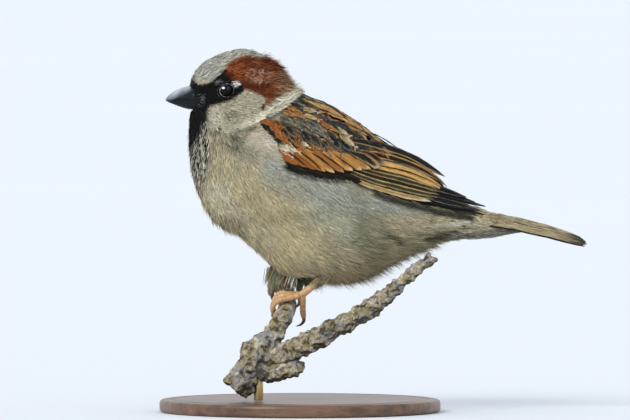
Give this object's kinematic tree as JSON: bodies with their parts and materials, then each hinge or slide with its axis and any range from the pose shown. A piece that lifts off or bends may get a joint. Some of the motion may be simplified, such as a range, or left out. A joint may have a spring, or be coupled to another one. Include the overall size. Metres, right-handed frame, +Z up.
{
  "type": "house sparrow museum model on a twig perch",
  "caption": "Life-size still model of an adult male house sparrow gripping a short cut twig, held over a flat round base by a rod.",
  "frame": {"origin": "centre of the round base's underside, on the floor", "axes": "+Z up, -X the way the bird looks, -Y its left side; the tail runs along +X"},
  "size_m": [0.137, 0.09, 0.1164],
  "materials": {
    "plumage_head": "soft matt feathers",
    "plumage_body": "soft matt feathers",
    "plumage_coverts": "soft matt feathers",
    "plumage_flight": "close matt feathers",
    "plumage_primaries": "close satin feathers",
    "plumage_tail": "close satin feathers",
    "horn": "satin horn",
    "eye": "wet gloss",
    "scaled_skin": "satin scales",
    "bark": "rough lichened bark",
    "stand_wood": "satin varnish",
    "stand_brass": "brushed"
  },
  "bodies": {
    "root": {"head": "plumage_head", "neck": "plumage_body", "trunk": "plumage_body", "vent": "plumage_body", "wing_left_coverts": "plumage_coverts", "wing_left_secondaries": "plumage_flight", "wing_left_primaries": "plumage_primaries", "wing_right_coverts": "plumage_coverts", "wing_right_secondaries": "plumage_flight", "wing_right_primaries": "plumage_primaries", "tail_middle_feathers": "plumage_tail", "tail_left_feathers": "plumage_tail", "tail_right_feathers": "plumage_tail", "bill_upper": "horn", "bill_lower": "horn", "eye_left": "eye", "eye_right": "eye", "leg_left": "scaled_skin", "leg_right": "scaled_skin", "foot_left": "scaled_skin", "foot_right": "scaled_skin", "perch_branch": "bark", "perch_grip_twig": "bark", "perch_side_twig": "bark", "stand_base": "stand_wood", "stand_rod": "stand_brass"}
  },
  "joints": []
}
